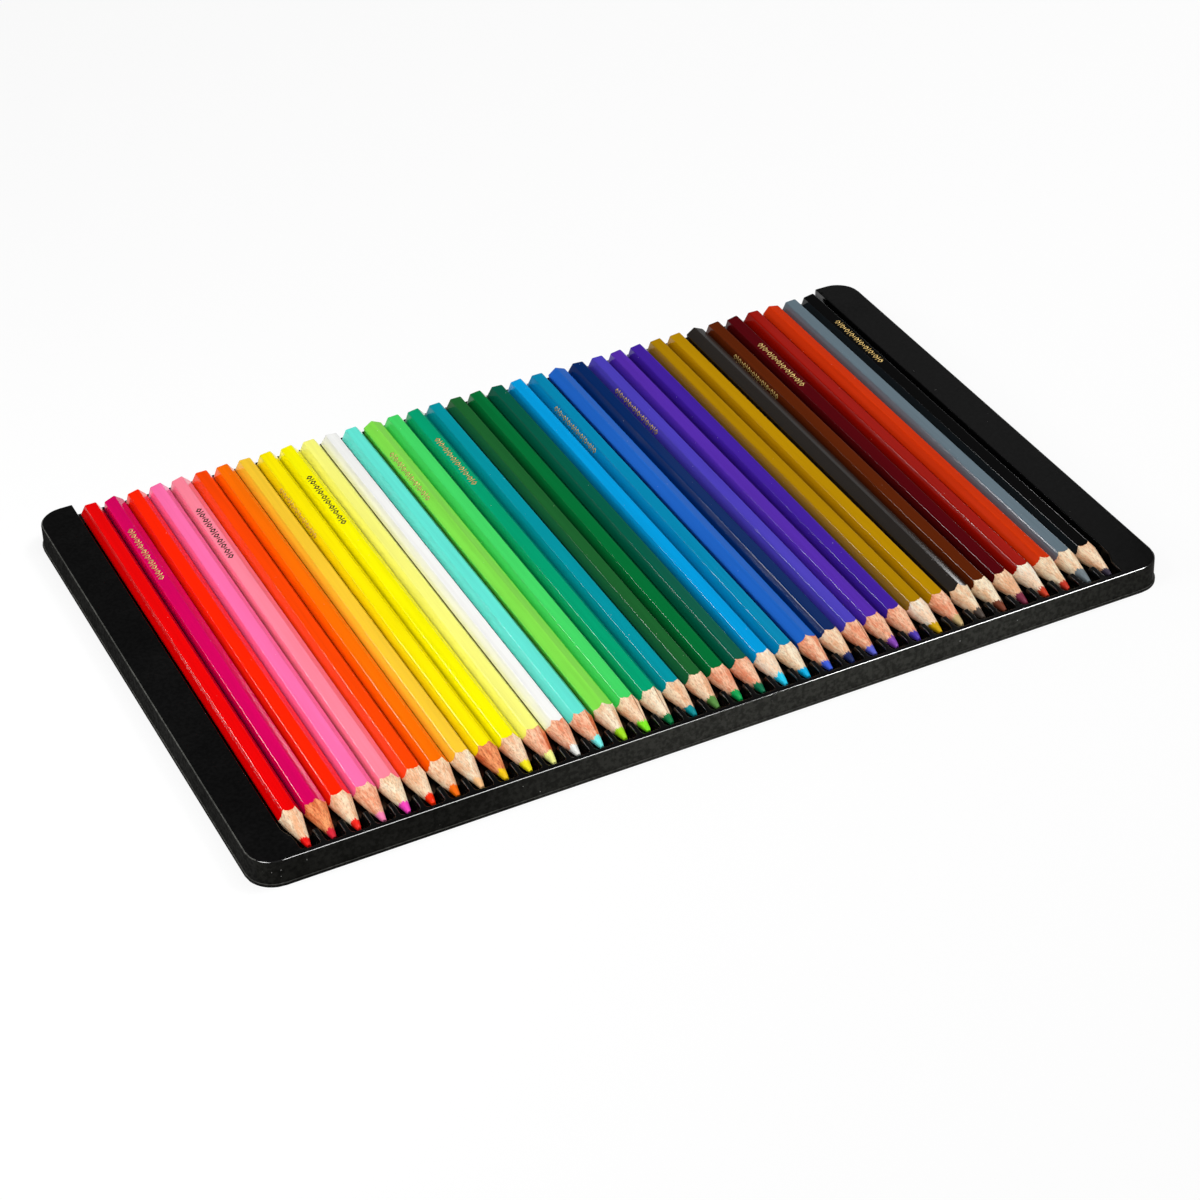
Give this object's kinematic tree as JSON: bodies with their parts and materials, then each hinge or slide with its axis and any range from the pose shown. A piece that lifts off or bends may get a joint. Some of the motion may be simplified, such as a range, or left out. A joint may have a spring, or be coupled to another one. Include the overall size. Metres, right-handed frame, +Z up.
{
  "type": "coloured pencil tray",
  "caption": "Black formed plastic tray holding a row of sharpened hexagonal coloured pencils, each in its own groove and free to lift out.",
  "frame": {"origin": "on the table under the middle of the tray's foot", "axes": "+X along the row of pencils, from the reds to the black; +Y from the tips to the blunt ends; +Z up"},
  "size_m": [0.2826, 0.1844, 0.0098],
  "materials": {
    "tray_plastic": "glossy black vacuum-formed sheet",
    "scarlet_lacquer": "glossy scarlet lacquer over a bare wood point",
    "magenta_lacquer": "glossy magenta lacquer over a bare wood point",
    "vermilion_lacquer": "glossy vermilion lacquer over a bare wood point",
    "pink_lacquer": "glossy pink lacquer over a bare wood point",
    "rose_lacquer": "glossy rose lacquer over a bare wood point",
    "red_orange_lacquer": "glossy red orange lacquer over a bare wood point",
    "orange_lacquer": "glossy orange lacquer over a bare wood point",
    "apricot_lacquer": "glossy apricot lacquer over a bare wood point",
    "golden_yellow_lacquer": "glossy golden yellow lacquer over a bare wood point",
    "yellow_lacquer": "glossy yellow lacquer over a bare wood point",
    "pale_yellow_lacquer": "glossy pale yellow lacquer over a bare wood point",
    "white_lacquer": "glossy white lacquer over a bare wood point",
    "turquoise_lacquer": "glossy turquoise lacquer over a bare wood point",
    "grass_green_lacquer": "glossy grass green lacquer over a bare wood point",
    "bright_green_lacquer": "glossy bright green lacquer over a bare wood point",
    "sea_green_lacquer": "glossy sea green lacquer over a bare wood point",
    "teal_lacquer": "glossy teal lacquer over a bare wood point",
    "forest_green_lacquer": "glossy forest green lacquer over a bare wood point",
    "leaf_green_lacquer": "glossy leaf green lacquer over a bare wood point",
    "bottle_green_lacquer": "glossy bottle green lacquer over a bare wood point",
    "sky_blue_lacquer": "glossy sky blue lacquer over a bare wood point",
    "cerulean_lacquer": "glossy cerulean lacquer over a bare wood point",
    "royal_blue_lacquer": "glossy royal blue lacquer over a bare wood point",
    "navy_lacquer": "glossy navy lacquer over a bare wood point",
    "blue_violet_lacquer": "glossy blue violet lacquer over a bare wood point",
    "purple_lacquer": "glossy purple lacquer over a bare wood point",
    "violet_lacquer": "glossy violet lacquer over a bare wood point",
    "ochre_lacquer": "glossy ochre lacquer over a bare wood point",
    "dark_ochre_lacquer": "glossy dark ochre lacquer over a bare wood point",
    "charcoal_lacquer": "glossy charcoal lacquer over a bare wood point",
    "brown_lacquer": "glossy brown lacquer over a bare wood point",
    "maroon_lacquer": "glossy maroon lacquer over a bare wood point",
    "brick_red_lacquer": "glossy brick red lacquer over a bare wood point",
    "rust_lacquer": "glossy rust lacquer over a bare wood point",
    "slate_grey_lacquer": "glossy slate grey lacquer over a bare wood point",
    "black_lacquer": "glossy black lacquer over a bare wood point"
  },
  "bodies": {
    "tray": {"tray": "tray_plastic"},
    "pencil_01_scarlet": {"pencil_01_scarlet": "scarlet_lacquer"},
    "pencil_02_magenta": {"pencil_02_magenta": "magenta_lacquer"},
    "pencil_03_vermilion": {"pencil_03_vermilion": "vermilion_lacquer"},
    "pencil_04_pink": {"pencil_04_pink": "pink_lacquer"},
    "pencil_05_rose": {"pencil_05_rose": "rose_lacquer"},
    "pencil_06_red_orange": {"pencil_06_red_orange": "red_orange_lacquer"},
    "pencil_07_orange": {"pencil_07_orange": "orange_lacquer"},
    "pencil_08_apricot": {"pencil_08_apricot": "apricot_lacquer"},
    "pencil_09_golden_yellow": {"pencil_09_golden_yellow": "golden_yellow_lacquer"},
    "pencil_10_yellow": {"pencil_10_yellow": "yellow_lacquer"},
    "pencil_11_pale_yellow": {"pencil_11_pale_yellow": "pale_yellow_lacquer"},
    "pencil_12_white": {"pencil_12_white": "white_lacquer"},
    "pencil_13_turquoise": {"pencil_13_turquoise": "turquoise_lacquer"},
    "pencil_14_grass_green": {"pencil_14_grass_green": "grass_green_lacquer"},
    "pencil_15_bright_green": {"pencil_15_bright_green": "bright_green_lacquer"},
    "pencil_16_sea_green": {"pencil_16_sea_green": "sea_green_lacquer"},
    "pencil_17_teal": {"pencil_17_teal": "teal_lacquer"},
    "pencil_18_forest_green": {"pencil_18_forest_green": "forest_green_lacquer"},
    "pencil_19_leaf_green": {"pencil_19_leaf_green": "leaf_green_lacquer"},
    "pencil_20_bottle_green": {"pencil_20_bottle_green": "bottle_green_lacquer"},
    "pencil_21_sky_blue": {"pencil_21_sky_blue": "sky_blue_lacquer"},
    "pencil_22_cerulean": {"pencil_22_cerulean": "cerulean_lacquer"},
    "pencil_23_royal_blue": {"pencil_23_royal_blue": "royal_blue_lacquer"},
    "pencil_24_navy": {"pencil_24_navy": "navy_lacquer"},
    "pencil_25_blue_violet": {"pencil_25_blue_violet": "blue_violet_lacquer"},
    "pencil_26_purple": {"pencil_26_purple": "purple_lacquer"},
    "pencil_27_violet": {"pencil_27_violet": "violet_lacquer"},
    "pencil_28_ochre": {"pencil_28_ochre": "ochre_lacquer"},
    "pencil_29_dark_ochre": {"pencil_29_dark_ochre": "dark_ochre_lacquer"},
    "pencil_30_charcoal": {"pencil_30_charcoal": "charcoal_lacquer"},
    "pencil_31_brown": {"pencil_31_brown": "brown_lacquer"},
    "pencil_32_maroon": {"pencil_32_maroon": "maroon_lacquer"},
    "pencil_33_brick_red": {"pencil_33_brick_red": "brick_red_lacquer"},
    "pencil_34_rust": {"pencil_34_rust": "rust_lacquer"},
    "pencil_35_slate_grey": {"pencil_35_slate_grey": "slate_grey_lacquer"},
    "pencil_36_black": {"pencil_36_black": "black_lacquer"}
  },
  "joints": [
    {"name": "pencil_01_scarlet_lift", "type": "slide", "parent": "tray", "child": "pencil_01_scarlet", "axis": [0, 0, 1], "range_m": [0, 0.04]},
    {"name": "pencil_02_magenta_lift", "type": "slide", "parent": "tray", "child": "pencil_02_magenta", "axis": [0, 0, 1], "range_m": [0, 0.04]},
    {"name": "pencil_03_vermilion_lift", "type": "slide", "parent": "tray", "child": "pencil_03_vermilion", "axis": [0, 0, 1], "range_m": [0, 0.04]},
    {"name": "pencil_04_pink_lift", "type": "slide", "parent": "tray", "child": "pencil_04_pink", "axis": [0, 0, 1], "range_m": [0, 0.04]},
    {"name": "pencil_05_rose_lift", "type": "slide", "parent": "tray", "child": "pencil_05_rose", "axis": [0, 0, 1], "range_m": [0, 0.04]},
    {"name": "pencil_06_red_orange_lift", "type": "slide", "parent": "tray", "child": "pencil_06_red_orange", "axis": [0, 0, 1], "range_m": [0, 0.04]},
    {"name": "pencil_07_orange_lift", "type": "slide", "parent": "tray", "child": "pencil_07_orange", "axis": [0, 0, 1], "range_m": [0, 0.04]},
    {"name": "pencil_08_apricot_lift", "type": "slide", "parent": "tray", "child": "pencil_08_apricot", "axis": [0, 0, 1], "range_m": [0, 0.04]},
    {"name": "pencil_09_golden_yellow_lift", "type": "slide", "parent": "tray", "child": "pencil_09_golden_yellow", "axis": [0, 0, 1], "range_m": [0, 0.04]},
    {"name": "pencil_10_yellow_lift", "type": "slide", "parent": "tray", "child": "pencil_10_yellow", "axis": [0, 0, 1], "range_m": [0, 0.04]},
    {"name": "pencil_11_pale_yellow_lift", "type": "slide", "parent": "tray", "child": "pencil_11_pale_yellow", "axis": [0, 0, 1], "range_m": [0, 0.04]},
    {"name": "pencil_12_white_lift", "type": "slide", "parent": "tray", "child": "pencil_12_white", "axis": [0, 0, 1], "range_m": [0, 0.04]},
    {"name": "pencil_13_turquoise_lift", "type": "slide", "parent": "tray", "child": "pencil_13_turquoise", "axis": [0, 0, 1], "range_m": [0, 0.04]},
    {"name": "pencil_14_grass_green_lift", "type": "slide", "parent": "tray", "child": "pencil_14_grass_green", "axis": [0, 0, 1], "range_m": [0, 0.04]},
    {"name": "pencil_15_bright_green_lift", "type": "slide", "parent": "tray", "child": "pencil_15_bright_green", "axis": [0, 0, 1], "range_m": [0, 0.04]},
    {"name": "pencil_16_sea_green_lift", "type": "slide", "parent": "tray", "child": "pencil_16_sea_green", "axis": [0, 0, 1], "range_m": [0, 0.04]},
    {"name": "pencil_17_teal_lift", "type": "slide", "parent": "tray", "child": "pencil_17_teal", "axis": [0, 0, 1], "range_m": [0, 0.04]},
    {"name": "pencil_18_forest_green_lift", "type": "slide", "parent": "tray", "child": "pencil_18_forest_green", "axis": [0, 0, 1], "range_m": [0, 0.04]},
    {"name": "pencil_19_leaf_green_lift", "type": "slide", "parent": "tray", "child": "pencil_19_leaf_green", "axis": [0, 0, 1], "range_m": [0, 0.04]},
    {"name": "pencil_20_bottle_green_lift", "type": "slide", "parent": "tray", "child": "pencil_20_bottle_green", "axis": [0, 0, 1], "range_m": [0, 0.04]},
    {"name": "pencil_21_sky_blue_lift", "type": "slide", "parent": "tray", "child": "pencil_21_sky_blue", "axis": [0, 0, 1], "range_m": [0, 0.04]},
    {"name": "pencil_22_cerulean_lift", "type": "slide", "parent": "tray", "child": "pencil_22_cerulean", "axis": [0, 0, 1], "range_m": [0, 0.04]},
    {"name": "pencil_23_royal_blue_lift", "type": "slide", "parent": "tray", "child": "pencil_23_royal_blue", "axis": [0, 0, 1], "range_m": [0, 0.04]},
    {"name": "pencil_24_navy_lift", "type": "slide", "parent": "tray", "child": "pencil_24_navy", "axis": [0, 0, 1], "range_m": [0, 0.04]},
    {"name": "pencil_25_blue_violet_lift", "type": "slide", "parent": "tray", "child": "pencil_25_blue_violet", "axis": [0, 0, 1], "range_m": [0, 0.04]},
    {"name": "pencil_26_purple_lift", "type": "slide", "parent": "tray", "child": "pencil_26_purple", "axis": [0, 0, 1], "range_m": [0, 0.04]},
    {"name": "pencil_27_violet_lift", "type": "slide", "parent": "tray", "child": "pencil_27_violet", "axis": [0, 0, 1], "range_m": [0, 0.04]},
    {"name": "pencil_28_ochre_lift", "type": "slide", "parent": "tray", "child": "pencil_28_ochre", "axis": [0, 0, 1], "range_m": [0, 0.04]},
    {"name": "pencil_29_dark_ochre_lift", "type": "slide", "parent": "tray", "child": "pencil_29_dark_ochre", "axis": [0, 0, 1], "range_m": [0, 0.04]},
    {"name": "pencil_30_charcoal_lift", "type": "slide", "parent": "tray", "child": "pencil_30_charcoal", "axis": [0, 0, 1], "range_m": [0, 0.04]},
    {"name": "pencil_31_brown_lift", "type": "slide", "parent": "tray", "child": "pencil_31_brown", "axis": [0, 0, 1], "range_m": [0, 0.04]},
    {"name": "pencil_32_maroon_lift", "type": "slide", "parent": "tray", "child": "pencil_32_maroon", "axis": [0, 0, 1], "range_m": [0, 0.04]},
    {"name": "pencil_33_brick_red_lift", "type": "slide", "parent": "tray", "child": "pencil_33_brick_red", "axis": [0, 0, 1], "range_m": [0, 0.04]},
    {"name": "pencil_34_rust_lift", "type": "slide", "parent": "tray", "child": "pencil_34_rust", "axis": [0, 0, 1], "range_m": [0, 0.04]},
    {"name": "pencil_35_slate_grey_lift", "type": "slide", "parent": "tray", "child": "pencil_35_slate_grey", "axis": [0, 0, 1], "range_m": [0, 0.04]},
    {"name": "pencil_36_black_lift", "type": "slide", "parent": "tray", "child": "pencil_36_black", "axis": [0, 0, 1], "range_m": [0, 0.04]}
  ]
}
